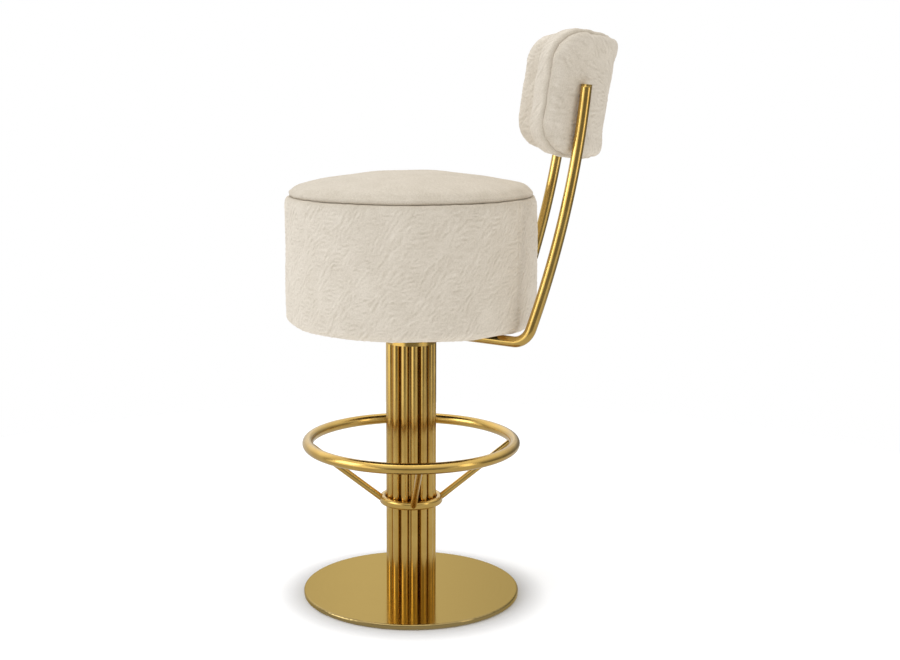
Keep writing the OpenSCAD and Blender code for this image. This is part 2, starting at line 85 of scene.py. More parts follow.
def smoothstep(low: float, high: float, value: np.ndarray) -> np.ndarray:
    """Rises smoothly from 0 at low to 1 at high."""
    t = np.clip((value - low) / (high - low), 0, 1)
    return t * t * (3 - 2 * t)


def bell(distance: np.ndarray, width: float) -> np.ndarray:
    """A Gaussian bump: 1 at no distance, falling off over width."""
    return np.exp(-((distance / width) ** 2))


def arc(
    centre: tuple[float, float], radius: float, start: float, end: float, step: float,
) -> np.ndarray:
    """Points along an arc in a profile plane.

    Args:
        centre: The arc's centre.
        radius: Its radius.
        start: The angle of its first point, in degrees.
        end: The angle of its last point, in degrees.
        step: The distance between points.

    Returns:
        An array of points, two columns.
    """
    count = max(3, math.ceil(math.radians(abs(end - start)) * radius / step) + 1)
    angle = np.radians(np.linspace(start, end, count))
    return np.array(centre) + radius * np.column_stack([np.cos(angle), np.sin(angle)])


def line(start: tuple[float, float], end: tuple[float, float], step: float) -> np.ndarray:
    """Points along a straight stretch, without its first and last point.

    Args:
        start: One end.
        end: The other end.
        step: The distance between points.

    Returns:
        An array of points, two columns.
    """
    length = math.dist(start, end)
    share = np.linspace(0, 1, max(2, math.ceil(length / step)) + 1)[1:-1, None]
    return np.array(start) * (1 - share) + np.array(end) * share


def arc_length(points: np.ndarray) -> np.ndarray:
    """The distance along a row of points, from its first one."""
    return np.concatenate([[0], np.cumsum(np.linalg.norm(np.diff(points, axis=0), axis=1))])


def points_of(mesh: Mesh, what: str = "co") -> np.ndarray:
    """Reads a mesh's vertices.

    Args:
        mesh: The mesh.
        what: co for places or normal for normals.

    Returns:
        One row of three numbers for each vertex.
    """
    flat = np.zeros(len(mesh.vertices) * 3, np.float32)
    mesh.vertices.foreach_get(what, flat)
    return flat.reshape(-1, 3).astype(float)


def ring_mesh(
    name: str, rings: np.ndarray, first_capped: bool = False, last_capped: bool = False,
) -> Object:
    """Builds a smooth skin over a stack of closed rings.

    Args:
        name: The new object's name.
        rings: Points in the shape (rings, points in a ring, 3).
        first_capped: Whether the first ring is filled.
        last_capped: Whether the last ring is filled.

    Returns:
        The new object, linked to the scene.
    """
    count, around = rings.shape[:2]
    below = np.arange(count - 1)[:, None] * around
    here = np.arange(around)[None, :]
    after = (here + 1) % around
    quads = np.stack([below + here, below + after, below + around + after, below + around + here], -1)
    faces = quads.reshape(-1, 4).tolist()
    if first_capped:
        faces.append(list(range(around))[::-1])
    if last_capped:
        faces.append(list(range((count - 1) * around, count * around)))
    return make_object(name, rings.reshape(-1, 3), faces)


def make_object(name: str, points: Iterable, faces: Iterable) -> Object:
    """Makes a smooth-shaded mesh object with outward faces.

    Args:
        name: The object's name.
        points: Its vertices.
        faces: Its faces, as rows of vertex numbers.

    Returns:
        The object, linked to the scene.
    """
    mesh = bpy.data.meshes.new(name)
    mesh.from_pydata(np.asarray(points).tolist(), [], list(faces))
    cleaner = bmesh.new()
    cleaner.from_mesh(mesh)
    bmesh.ops.recalc_face_normals(cleaner, faces=cleaner.faces)
    cleaner.to_mesh(mesh)
    cleaner.free()
    mesh.polygons.foreach_set("use_smooth", [True] * len(mesh.polygons))
    made = bpy.data.objects.new(name, mesh)
    bpy.context.scene.collection.objects.link(made)
    return made


def place_points(target: Object, points: np.ndarray) -> None:
    """Puts an object's vertices in their new places."""
    target.data.vertices.foreach_set("co", points.astype(np.float32).ravel())
    target.data.update()


def push(target: Object, distance: np.ndarray) -> None:
    """Moves each vertex along its normal.

    Args:
        target: The object.
        distance: How far each vertex goes, outwards.
    """
    mesh = target.data
    place_points(target, points_of(mesh) + points_of(mesh, "normal") * distance[:, None])


# ---------------------------------------------------------------------------- finishes


def fill(tree: NodeTree, node: Node, inputs: dict) -> None:
    """Sets or links a node's inputs.

    Args:
        tree: The material's or world's node tree.
        node: The node.
        inputs: A value, or another node's output, for each input by name or number.
    """
    for key, value in inputs.items():
        if isinstance(value, NodeSocket):
            tree.links.new(value, node.inputs[key])
        else:
            node.inputs[key].default_value = value


def add_node(tree: NodeTree, kind: str, inputs: dict, **settings) -> Node:
    """Adds one shader node with its settings and links.

    Args:
        tree: The material's or world's node tree.
        kind: The node's type name, without ShaderNode in front.
        inputs: A value, or another node's output, for each input by name or number.
        **settings: The node's own properties.

    Returns:
        The node.
    """
    made = tree.nodes.new("ShaderNode" + kind)
    for key, value in settings.items():
        setattr(made, key, value)
    fill(tree, made, inputs)
    return made


@dataclass(frozen=True)
class Finish:
    """What a surface is made of. Its kinds below add the pattern."""

    name: str
    slot: str
    colour: str
    dark: str
    roughness: float
    metallic: float = 0.0
    bump: float = 0.5
    relief: float = 0.1 * MM

    def material(self) -> Material:
        """Makes the material, or returns it if it is there already."""
        known = bpy.data.materials.get(self.name)
        if known:
            return known
        made = bpy.data.materials.new(self.name)
        made.use_nodes = True
        tree = made.node_tree
        place = add_node(tree, "TexCoord", {}).outputs["Object"]
        own = {"Base Color": linear(self.colour), "Roughness": self.roughness, "Metallic": self.metallic}
        fill(tree, tree.nodes["Principled BSDF"], own)
        worn = self.pattern(tree, place)
        depth = {"Height": worn.pop("Height"), "Strength": self.bump, "Distance": self.relief}
        worn["Normal"] = add_node(tree, "Bump", depth).outputs["Normal"]
        fill(tree, tree.nodes["Principled BSDF"], worn)
        return made

    def pattern(self, tree: NodeTree, place: NodeSocket) -> dict:
        """Adds the surface's own pattern.

        Args:
            tree: The material's node tree.
            place: The point's place on the piece, in metres.

        Returns:
            What goes into the shader, for each of its inputs by name, and the bump's "Height".
        """
        raise NotImplementedError

    def dress(self, *pieces: Object) -> None:
        """Gives the pieces this finish, in every material slot that they have."""
        for piece in pieces:
            if not piece.data.materials:
                piece.data.materials.append(None)
            for i in range(len(piece.data.materials)):
                piece.data.materials[i] = self.material()

    def shade(
        self, tree: NodeTree, value: NodeSocket, start: float = 0.3, end: float = 0.7,
    ) -> NodeSocket:
        """Goes from the dark colour to the full one as a pattern's value rises.

        Args:
            tree: The material's node tree.
            value: The pattern's value.
            start: The value that gives the dark colour.
            end: The value that gives the full colour.

        Returns:
            The colour's socket.
        """
        share = add_node(tree, "MapRange", {0: value, 1: start, 2: end}).outputs[0]
        colours = {0: share, 6: linear(self.dark), 7: linear(self.colour)}
        return add_node(tree, "Mix", colours, data_type="RGBA").outputs[2]

    def rough(
        self, tree: NodeTree, value: NodeSocket, less: float, more: float,
    ) -> NodeSocket:
        """Varies the roughness with a pattern's value.

        Args:
            tree: The material's node tree.
            value: The pattern's value.
            less: How much smoother than the finish's roughness it gets.
            more: How much rougher it gets.

        Returns:
            The roughness's socket.
        """
        ends = {0: value, 1: 0.3, 2: 0.7, 3: self.roughness - less, 4: self.roughness + more}
        return add_node(tree, "MapRange", ends).outputs[0]


@dataclass(frozen=True)
class PolishedBrass(Finish):
    """Brass plated steel tube, polished along its length and lacquered.

    The eye sees long clear highlights, a little softened by the polishing lines, and a faint
    unevenness in the lacquer.
    """

    bump: float = 0.12
    relief: float = 0.02 * MM
    polish_line: float = 0.9 * MM
    cloud: float = 45 * MM

    def pattern(self, tree: NodeTree, place: NodeSocket) -> dict:
        """Adds the polishing lines and the clouds in the lacquer."""
        clouds = add_node(tree, "TexNoise", {"Vector": place, "Scale": 1 / self.cloud, "Detail": 3.0})
        lines = add_node(tree, "TexNoise", {"Vector": place, "Scale": 1 / self.polish_line, "Detail": 2.0})
        return {
            "Base Color": self.shade(tree, clouds.outputs["Fac"]),
            "Roughness": self.rough(tree, clouds.outputs["Fac"], 0.03, 0.05),
            "Height": lines.outputs["Fac"],
            "Coat Weight": 0.25,
            "Coat Roughness": 0.12,
        }


@dataclass(frozen=True)
class SpunBrass(Finish):
    """Brass plated steel disc, turned to a near mirror, lightly brushed and lacquered.

    The eye sees fine circles, and a clear golden reflection of what stands on it.
    """

    bump: float = 0.25
    relief: float = 0.03 * MM
    brush_line: float = 1.1 * MM  # real lines are about 0.1 mm apart, drawn as coarse as shows
    cloud: float = 60 * MM

    def pattern(self, tree: NodeTree, place: NodeSocket) -> dict:
        """Adds the circles of the brush, and the way that they stretch highlights."""
        flat = add_node(tree, "VectorMath", {0: place, 1: (1.0, 1.0, 0.0)}, operation="MULTIPLY")
        radius = add_node(tree, "VectorMath", {0: flat.outputs["Vector"]}, operation="LENGTH")
        rings = {"W": radius.outputs["Value"], "Scale": 1 / self.brush_line, "Detail": 3.0}
        circles = add_node(tree, "TexNoise", rings, noise_dimensions="1D")
        clouds = add_node(tree, "TexNoise", {"Vector": place, "Scale": 1 / self.cloud, "Detail": 2.0})
        return {
            "Base Color": self.shade(tree, circles.outputs["Fac"], 0.25, 0.75),
            "Roughness": self.rough(tree, clouds.outputs["Fac"], 0.02, 0.02),
            "Height": circles.outputs["Fac"],
            "Tangent": add_node(tree, "Tangent", {}, direction_type="RADIAL", axis="Z").outputs["Tangent"],
            "Anisotropic": 0.4,
            "Specular Tint": linear("#F4E4BE"),
        }


@dataclass(frozen=True)
class Grained(Finish):
    """A plain working surface with a fine grain: zinc plate, nylon, rubber or foam.

    The eye sees a slightly mottled colour and a soft, grainy sheen.
    """

    bump: float = 0.6
    grain: float = 2 * MM

    def pattern(self, tree: NodeTree, place: NodeSocket) -> dict:
        """Adds the mottled colour and the grain."""
        noise = add_node(tree, "TexNoise", {"Vector": place, "Scale": 1 / self.grain, "Detail": 4.0})
        return {"Base Color": self.shade(tree, noise.outputs["Fac"]), "Height": noise.outputs["Fac"]}


@dataclass(frozen=True)
class BirchPlywood(Finish):
    """Sawn birch plywood, left bare inside the seat.

    The eye sees pale wood with long grain, and thin darker plies along its cut edges.
    """

    ply: float = 1.5 * MM
    grain: float = 3 * MM

    def pattern(self, tree: NodeTree, place: NodeSocket) -> dict:
        """Adds the plies, by height, and the long grain."""
        long = add_node(tree, "Mapping", {"Vector": place, "Scale": (1.0, 14.0, 1.0)}).outputs["Vector"]
        grain = add_node(tree, "TexNoise", {"Vector": long, "Scale": 0.1 / self.grain, "Detail": 5.0})
        layers = {"Vector": place, "Scale": 0.05 / self.ply, "Distortion": 0.3}
        plies = add_node(tree, "TexWave", layers, bands_direction="Z")
        factors = {0: grain.outputs["Fac"], 1: plies.outputs["Fac"]}
        both = add_node(tree, "Math", factors, operation="MULTIPLY").outputs["Value"]
        return {"Base Color": self.shade(tree, both, 0.0, 0.5), "Height": grain.outputs["Fac"]}


@dataclass(frozen=True)
class Boucle(Finish):
    """Cream chenille boucle with a woven relief of short wandering strokes.

    The eye sees matt, slightly furry loops, lighter on the strokes that stand up, darker between
    them: painted light and painted shade in the colour, on top of the shading of the relief itself.
    The relief is in the mesh, and its height comes as the attribute "pile", which also drives that paint.
    """

    bump: float = 0.55
    relief: float = 0.5 * MM
    loop: float = 1.7 * MM
    blotch: float = 38 * MM

    def pattern(self, tree: NodeTree, place: NodeSocket) -> dict:
        """Adds the loops of the yarn, painted light on the strokes and painted shade between them, and the
        soft sheen.
        """
        pile = add_node(tree, "Attribute", {}, attribute_name="pile").outputs["Fac"]
        cells = {"Vector": place, "Scale": 1 / self.loop, "Randomness": 1.0}
        loops = add_node(tree, "TexVoronoi", cells, feature="SMOOTH_F1").outputs["Distance"]
        fluff = add_node(tree, "TexNoise", {"Vector": place, "Scale": 0.8 / self.loop, "Detail": 5.0})
        blotches = add_node(tree, "TexNoise", {"Vector": place, "Scale": 1 / self.blotch, "Detail": 3.0})
        fuzz = add_node(tree, "MapRange", {0: fluff.outputs["Fac"], 1: 0.3, 2: 0.7, 3: 0.12, 4: 0.48})
        worn = add_node(tree, "MapRange", {0: blotches.outputs["Fac"], 1: 0.3, 2: 0.7, 3: -0.08, 4: 0.08})
        # The pile paints the strokes lighter and the hollows darker (painted light and shade); the fluff and
        # blotches vary the tone at random.
        painted_pile_shade_and_fuzz = add_node(tree, "Math", {0: pile, 1: 0.5, 2: fuzz.outputs[0]}, operation="MULTIPLY_ADD")
        shade = add_node(tree, "Math", {0: painted_pile_shade_and_fuzz.outputs[0], 1: worn.outputs[0]}, operation="ADD")
        height = add_node(tree, "Math", {0: fluff.outputs["Fac"], 1: loops}, operation="SUBTRACT")
        return {
            "Base Color": self.shade(tree, shade.outputs["Value"], 0.0, 1.0),
            "Height": height.outputs["Value"],
            "Sheen Weight": 0.35,
            "Sheen Roughness": 0.5,
            "Sheen Tint": linear("#FFF6E8"),
            "Specular IOR Level": 0.2,
        }


@dataclass(frozen=True)
class SpunbondCloth(Finish):
    """Black spunbond polypropylene under the seat.

    The eye sees a matt black sheet with a grid of small pressed dots.
    """

    relief: float = 0.3 * MM
    dot: float = 3 * MM  # real dots are 1 mm apart, drawn as coarse as shows

    def pattern(self, tree: NodeTree, place: NodeSocket) -> dict:
        """Adds the pressed dots."""
        grid = {"Vector": place, "Scale": 1 / self.dot, "Randomness": 0.15}
        dots = add_node(tree, "TexVoronoi", grid, feature="F1").outputs["Distance"]
        return {"Base Color": self.shade(tree, dots, 0.1, 0.5), "Height": dots}


POLISHED_BRASS = PolishedBrass("polished_brass_tube", "polished_brass", "#DAB766", "#CBA555", 0.19, 1.0)
SPUN_BRASS = SpunBrass("spun_brass_plate", "satin_brass", "#AE9866", "#A08A58", 0.1, 1.0)
ZINC_STEEL = Grained("zinc_plated_steel", "zinc_steel", "#B9BBB8", "#8E908C", 0.38, 1.0, grain=6 * MM)
NYLON = Grained("turned_nylon", "nylon", "#EDEAE0", "#DCD8CB", 0.4, grain=1 * MM)
RUBBER = Grained("moulded_rubber", "rubber", "#232323", "#161616", 0.75, grain=1.5 * MM)
CUT_FOAM = Grained("cut_foam", "foam", "#EFE3B4", "#D6C88F", 0.9, grain=1.2 * MM, relief=0.4 * MM)
PLYWOOD = BirchPlywood("birch_plywood", "plywood", "#D9BC8C", "#A98455", 0.6)
# The boucle's dark colour is partly random tone and partly painted shade between the relief's strokes.
BOUCLE = Boucle("cream_boucle", "boucle", "#EBE2D4", "#BFB4A1", 0.92)
DUST_CLOTH = SpunbondCloth("black_spunbond", "dust_cloth", "#2A2A2D", "#141416", 0.85)


# ---------------------------------------------------------------------------- upholstery tools


@dataclass(frozen=True)
class Waves:
    """Noise whose waves are all about one length, and mostly run one way.

    Spacing is the length of a wave, and spread says how far lengths stray from it, as a share.
    Lean is the direction in which they run, in degrees above the level, and pull says how firmly
    they keep to it.
    """

    spacing: float
    spread: float
    lean: float
    pull: float

    def map(self, cells: int, cell: float, seed: int) -> np.ndarray:
        """Draws the noise.

        Args:
            cells: The number of cells along each side of the map.
            cell: The size of a cell.
            seed: The seed of the noise.

        Returns:
            A square repeating map with a mean of 0 and a deviation of 1.
        """
        noise = np.random.default_rng(seed).standard_normal((cells, cells))
        along = np.fft.fftfreq(cells, cell)
        up, across = np.meshgrid(along, along, indexing="ij")
        size = np.hypot(up, across) * self.spacing
        direction = np.arctan2(up, across) - math.radians(self.lean + 90)
        weight = bell(size - 1, self.spread) * np.exp(self.pull * (np.cos(2 * direction) - 1))
        made = np.fft.ifft2(np.fft.fft2(noise) * weight).real
        return made / made.std()


@dataclass(frozen=True)
class Relief:
    """The cloth's woven relief: short wandering strokes, with thin calm lines slanting between them.

    It is a repeating map of noise that holds only waves of about one length, laid over a piece by
    two distances measured along its surface.
    """

    level: Waves = Waves(7.5 * MM, 0.6, 4, 1.9)
    slanted: Waves = Waves(9 * MM, 0.7, 52, 1.8)
    patches: Waves = Waves(62 * MM, 0.7, 55, 1.0)
    breaks: Waves = Waves(18 * MM, 0.8, 90, 0.2)
    lines: Waves = Waves(62 * MM, 0.6, 50, 1.8)
    faintest: float = 0.35
    line_height: float = 0.2
    height: float = 1.5 * MM
    cell: float = 1.25 * MM
    cells: int = 576
    seed: int = 7

    def map(self) -> np.ndarray:
        """The relief over one repeat, from 0 between strokes to 1 on them."""
        layers = (self.level, self.slanted, self.patches, self.breaks, self.lines)
        level, slanted, patches, breaks, lines = (
            layer.map(self.cells, self.cell, self.seed + i) for i, layer in enumerate(layers))
        where = smoothstep(-0.6, 0.8, patches)
        strokes = smoothstep(-1.5, 1.5, level * where + slanted * (1 - where)) - 0.5
        from_line = np.abs(lines)
        strong = self.faintest + (1 - self.faintest) * smoothstep(-0.9, 0.7, breaks)
        strokes *= strong * smoothstep(0.06, 0.5, from_line)
        return np.clip(0.5 + strokes + self.line_height * bell(from_line, 0.1), 0, 1)

    def at(self, across: np.ndarray, up: np.ndarray) -> np.ndarray:
        """Reads the relief at points on a surface.

        Args:
            across: Distances along the cloth's width.
            up: Distances along its length.

        Returns:
            The relief's height at each point, from 0 to 1.
        """
        grid = self.map()
        x, y = across / self.cell, up / self.cell
        i, j = np.floor(x).astype(int), np.floor(y).astype(int)
        u, v = x - i, y - j
        i, j = i % self.cells, j % self.cells
        right, above = (i + 1) % self.cells, (j + 1) % self.cells
        low = grid[j, i] * (1 - u) + grid[j, right] * u
        high = grid[above, i] * (1 - u) + grid[above, right] * u
        return low * (1 - v) + high * v

    def raise_on(
        self, piece: Object, across: np.ndarray, up: np.ndarray, share: np.ndarray,
        level: np.ndarray | float = 0.0,
    ) -> None:
        """Raises the relief on a piece and keeps it as the attribute "pile", which the boucle turns into
        painted light and shade.

        Args:
            piece: The piece.
            across: Each vertex's distance along the cloth's width.
            up: Each vertex's distance along its length.
            share: How much of the relief shows at each vertex.
            level: What is added to it, to fill a calm place.
        """
        pile = self.at(across, up) * share + level
        push(piece, (pile - 0.5) * self.height)
        attribute = piece.data.attributes.new("pile", "FLOAT", "POINT")
        attribute.data.foreach_set("value", pile.astype(np.float32))


@dataclass(frozen=True)
class Unevenness:
    """Smooth, seeded waves that make hand upholstery a little uneven."""

    spacing: float
    height: float
    seed: int
    terms: int = 24

    def at(self, points: np.ndarray) -> np.ndarray:
        """The unevenness at points in space, in metres."""
        draw = np.random.default_rng(self.seed)
        turn = draw.standard_normal((self.terms, 3))
        turn *= 2 * math.pi / self.spacing / np.linalg.norm(turn, axis=1, keepdims=True)
        turn *= draw.uniform(0.6, 1.4, (self.terms, 1))
        phase = draw.uniform(0, 2 * math.pi, self.terms)
        return np.sin(points @ turn.T + phase).sum(1) * self.height * math.sqrt(2 / self.terms)


@dataclass(frozen=True)
class Stuffing:
    """Cloth under the pressure of the foam inside it.

    A coarse copy of the cover is sewn down at its seams and blown up by a cloth simulation, and
    the fine cover then follows it.
    """

    voxel: float = 6 * MM
    pressure: float = 4.0
    slack: float = 0.03
    cap: float = 4 * MM
    frames: int = 20
    quality: int = 6
    mass: float = 0.4
    stretch_stiffness: float = 18
    bend_stiffness: float = 0.8
    reach: float = 7 * MM
    nearest: int = 10

    def swell(
        self, coarse: Object, held: Callable[[np.ndarray], np.ndarray]
    ) -> tuple[np.ndarray, np.ndarray]:
        """Runs the simulation on a closed coarse cover and removes it.

        Args:
            coarse: The closed cover.
            held: Gives, for points on it, how firmly each is sewn or stapled down, 0 to 1.

        Returns:
            The cover's points before, and how far each one moved.
        """
        scene = bpy.context.scene
        remesh = coarse.modifiers.new("even_weave", "REMESH")
        remesh.mode = "VOXEL"
        remesh.voxel_size = self.voxel
        even = bpy.data.meshes.new_from_object(coarse.evaluated_get(bpy.context.evaluated_depsgraph_get()))
        coarse.modifiers.clear()
        coarse.data = even
        rest = points_of(even)
        group = coarse.vertex_groups.new(name="held")
        for i, weight in enumerate(held(rest)):
            if weight > 0.01:
                group.add([i], float(weight), "REPLACE")
        cloth = coarse.modifiers.new("cloth", "CLOTH").settings
        cloth.use_pressure = True
        cloth.uniform_pressure_force = self.pressure
        cloth.effector_weights.gravity = 0
        cloth.vertex_group_mass = group.name
        cloth.shrink_min = -self.slack
        cloth.quality = self.quality
        cloth.mass = self.mass
        cloth.tension_stiffness = cloth.compression_stiffness = self.stretch_stiffness
        cloth.bending_stiffness = self.bend_stiffness
        for number in range(1, self.frames + 1):
            scene.frame_set(number)
        blown = coarse.evaluated_get(bpy.context.evaluated_depsgraph_get()).to_mesh()
        moved = points_of(blown) - rest
        length = np.linalg.norm(moved, axis=1, keepdims=True)
        moved *= self.cap * np.tanh(length / self.cap) / np.maximum(length, 1e-9)
        coarse.modifiers.clear()
        scene.frame_set(1)
        bpy.data.objects.remove(coarse)
        return rest, moved

    def follow(self, piece: Object, rest: np.ndarray, moved: np.ndarray) -> None:
        """Moves a fine cover as the coarse one moved near each of its points.

        Args:
            piece: The fine cover.
            rest: The coarse cover's points before.
            moved: How far each one moved.
        """
        tree = KDTree(len(rest))
        for i, point in enumerate(rest):
            tree.insert(point, i)
        tree.balance()
        fine = points_of(piece.data)
        offset = np.zeros_like(fine)
        for i, point in enumerate(fine):
            found = tree.find_n(point, self.nearest)
            weight = np.exp(-((np.array([f[2] for f in found]) / self.reach) ** 2))
            offset[i] = weight @ moved[[f[1] for f in found]] / max(weight.sum(), 1e-9)
        place_points(piece, fine + offset)


@dataclass(frozen=True)
class Seam:
    """A sewn seam: it draws the cloth in and gathers it, and the cloth rolls out beside it."""

    depth: float
    width: float
    gathers: Unevenness
    gathers_reach: float
    roll_at: float
    roll_width: float
    calm: float
    gap: float
    stitches: float = 2 * MM
    tuck: float = 6 * MM

    def draw_in(self, points: np.ndarray, off: np.ndarray, roll: float) -> np.ndarray:
        """How a cover is drawn in and rolls out beside the seam.

        Args:
            points: The cover's points.
            off: Each one's distance from the seam along the cover.
            roll: How far this cover rolls out.

        Returns:
            How far each point goes outwards.
        """
        gathered = self.gathers.at(points) * np.exp(-off / self.gathers_reach)
        rolled = roll * bell(off - self.roll_at, self.roll_width)
        return gathered + rolled - self.depth * bell(off, self.width)

    def relief_left(self, off: np.ndarray) -> np.ndarray:
        """How much of the cloth's relief is left beside the seam, from 0 to 1."""
        return smoothstep(self.stitches, self.calm, off)

    def fold_in(
        self, piece: Object, around: int, at_end: bool, inward: np.ndarray, clear: np.ndarray,
    ) -> None:
        """Folds a cover's three spare rings in behind the seam, so that nobody sees past it.

        Args:
            piece: The cover, a stack of rings.
            around: The number of points in a ring.
            at_end: Whether the spare rings are the last ones, or the first ones.
            inward: Where the fold ends, seen from the seam.
            clear: How far the cover keeps clear of the other one at the seam, before the two cross.
        """
        rings = points_of(piece.data).reshape(-1, around, 3)
        seam, spare = (-4, (-3, -2, -1)) if at_end else (3, (2, 1, 0))
        rings[seam] += clear
        for ring, share in zip(spare, (0.3, 0.65, 1.0)):
            rings[ring] = rings[seam] + share * inward - 4 * share ** 3 * clear
        place_points(piece, rings)


# ---------------------------------------------------------------------------- the stool's pieces


@dataclass
class SubAssembly:
    """A group of pieces that is built and dressed together."""

    built: list[Object] = field(default_factory=list, init=False)

    def keep(self, piece: Object, body: Body, finish: Finish, *nodes: str) -> Object:
        """Dresses a new piece, and puts it on its body.

        Args:
            piece: The piece.
            body: The body that it moves with.
            finish: Its finish.
            *nodes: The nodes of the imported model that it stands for.

        Returns:
            The piece.
        """
        finish.dress(piece)
        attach(piece, body.value)
        if nodes:
            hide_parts(*nodes)
        self.built.append(piece)
        return piece

    def dress_nodes(self, finish: Finish, *starts: str) -> None:
        """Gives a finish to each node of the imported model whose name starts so."""
        for name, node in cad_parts.items():
            if name.startswith(starts):
                finish.dress(node)
                self.built.append(node)

    def build(self) -> None:
        """Builds and dresses every piece."""


@dataclass
class Pedestal(SubAssembly):
    """Base plate, column of upright tubes and footrest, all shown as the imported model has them."""

    def build(self) -> None:
        """Dresses the pedestal's nodes."""
        self.dress_nodes(SPUN_BRASS, "base_plate")
        self.dress_nodes(RUBBER, "floor_pad")
        self.dress_nodes(POLISHED_BRASS, "column_core", "column_tube", "column_cap", "footrest_")
        self.dress_nodes(ZINC_STEEL, "base_bolts", "column_plug", "hub_screws", "bearing_housing")
        self.dress_nodes(NYLON, "lower_bush", "upper_bush", "thrust_washer")


@dataclass
class SeatFrame(SubAssembly):
    """Spindle, carrier, plywood box and foam inside the seat and the back pad."""

    def build(self) -> None:
        """Dresses the hidden nodes of the seat."""
        self.dress_nodes(ZINC_STEEL, "spindle", "seat_carrier", "carrier_bolts", "tee_nuts", "pad_bolts")
        self.dress_nodes(PLYWOOD, "seat_board", "seat_wall", "deck_posts", "seat_deck", "back_board")
        self.dress_nodes(CUT_FOAM, "side_foam", "top_foam", "back_foam")
        self.dress_nodes(DUST_CLOTH, "dust_cover")


@dataclass
class DrumSeat(SubAssembly):
    """The drum seat's cover: a band round the side, and a crowned top panel sewn to it."""

    heel: float = 18 * MM
    shoulder: float = 35 * MM
    seam_angle: float = 28.0
    wrap: float = 18 * MM
    crown: float = 893 * MM
    shy: float = 2.4 * MM
    step: float = 2.4 * MM
    side_lip: float = 0.2 * MM
    top_lip: float = 1.5 * MM
    top_relief: float = 0.4
    middle: float = 12 * MM
    join_angles: tuple[float, ...] = (55.0, 125.0)
    seam: Seam = Seam(
        3.0 * MM, 2.0 * MM, Unevenness(22 * MM, 0.55 * MM, 5), 13 * MM, 5 * MM, 4 * MM, 16 * MM, 0.55 * MM)
    join: Seam = Seam(
        1.6 * MM, 1.9 * MM, Unevenness(16 * MM, 0.35 * MM, 11), 9 * MM, 6 * MM, 4 * MM, 16 * MM, 0.0)
    join_roll: float = 0.5 * MM
    held_width: float = 7 * MM
    staples: float = 2 * MM
    waves: Unevenness = Unevenness(95 * MM, 0.55 * MM, 3)
    relief: Relief = Relief()
    stuffing: Stuffing = Stuffing(cap=2.4 * MM)

    def __post_init__(self) -> None:
        """Takes the drum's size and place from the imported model."""
        low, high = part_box("side_cover")
        self.radius = high.x
        self.foot = low.z
        self.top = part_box("top_cover")[1].z
        self.crown_z = self.top - self.crown
        self.shoulder_r = self.radius - self.shoulder
        self.shoulder_z = self.crown_z + math.sqrt((self.crown - self.shoulder) ** 2 - self.shoulder_r ** 2)
        self.crown_start = math.degrees(math.atan2(self.shoulder_z - self.crown_z, self.shoulder_r))

    def side_profile(self, shy: float, step: float) -> np.ndarray:
        """The side band's outline, from under the seat to the seam and three spare points beyond.

        Args:
            shy: How far inside the finished surface it lies.
            step: The distance between points.

        Returns:
            Points as radius and height.
        """
        centre = (self.radius - self.heel, self.foot + self.heel)
        heel = arc(centre, self.heel - shy, -90, 0, step)
        edge = arc((self.shoulder_r, self.shoulder_z), self.shoulder - shy, 0, self.seam_angle, step)
        under = line((centre[0] - self.wrap, self.foot + shy), tuple(heel[0]), step)
        side = line(tuple(heel[-1]), tuple(edge[0]), step)
        spare = edge[-1] + np.outer((0.3, 0.6, 0.9), edge[-1] - edge[-2])
        return np.vstack([[(centre[0] - self.wrap, self.foot + shy)], under, heel, side, edge, spare])

    def top_profile(self, shy: float, step: float) -> np.ndarray:
        """The top panel's outline, from three spare points before the seam to just off its middle.

        Args:
            shy: How far inside the finished surface it lies.
            step: The distance between points.

        Returns:
            Points as radius and height.
        """
        middle = (self.shoulder_r, self.shoulder_z)
        edge = arc(middle, self.shoulder - shy, self.seam_angle, self.crown_start, step)
        crown = arc((0, self.crown_z), self.crown - shy, self.crown_start, 90, step)
        spare = edge[0] + np.outer((0.9, 0.6, 0.3), edge[0] - edge[1])
        return np.vstack([spare, edge, crown[1:-1]])

    def revolve(self, name: str, profile: np.ndarray, step: float, *capped: bool) -> Object:
        """Turns an outline round the drum's axis.

        Args:
            name: The new piece's name.
            profile: Points as radius and height.
            step: The distance between points round the drum.
            *capped: Whether the first and the last ring are filled.

        Returns:
            The new piece.
        """
        around = math.ceil(2 * math.pi * self.radius / step)
        angle = np.linspace(0, 2 * math.pi, around, endpoint=False)
        radius, height = profile[:, :1], profile[:, 1:]
        height = np.broadcast_to(height, (len(profile), around))
        rings = np.stack([radius * np.cos(angle), radius * np.sin(angle), height], -1)
        return ring_mesh(name, rings, *capped)

    def swell(self) -> tuple[np.ndarray, np.ndarray]:
        """Blows up a coarse drum that is held at its foot and its seam.

        Returns:
            The coarse drum's points before, and how far each one moved.
        """
        step = self.stuffing.voxel
        profile = np.vstack([self.side_profile(self.shy, step)[:-3], self.top_profile(self.shy, step)[4:]])
        coarse = self.revolve("coarse_drum", profile, step, True, True)
        seam_z = self.shoulder_z + self.shoulder * math.sin(math.radians(self.seam_angle))

        def held(points: np.ndarray) -> np.ndarray:
            """The seam and the stapled foot are held, and the side a little."""
            rim = np.hypot(points[:, 0], points[:, 1])
            at_seam = bell(points[:, 2] - seam_z, self.held_width) * (rim > 0.9 * self.radius)
            at_foot = 1 - smoothstep(self.foot + self.staples, self.foot + self.heel, points[:, 2])
            return np.clip(at_seam + at_foot, 0, 1)

        return self.stuffing.swell(coarse, held)

    def joins(self, points: np.ndarray) -> np.ndarray:
        """How the upright joins in the side band draw it in, at each point."""
        angle = np.arctan2(points[:, 1], points[:, 0])
        drawn = np.zeros(len(points))
        for join in self.join_angles:
            off = np.abs(angle - math.radians(join)) * self.radius
            drawn += self.join.draw_in(points, off, self.join_roll)
        return drawn

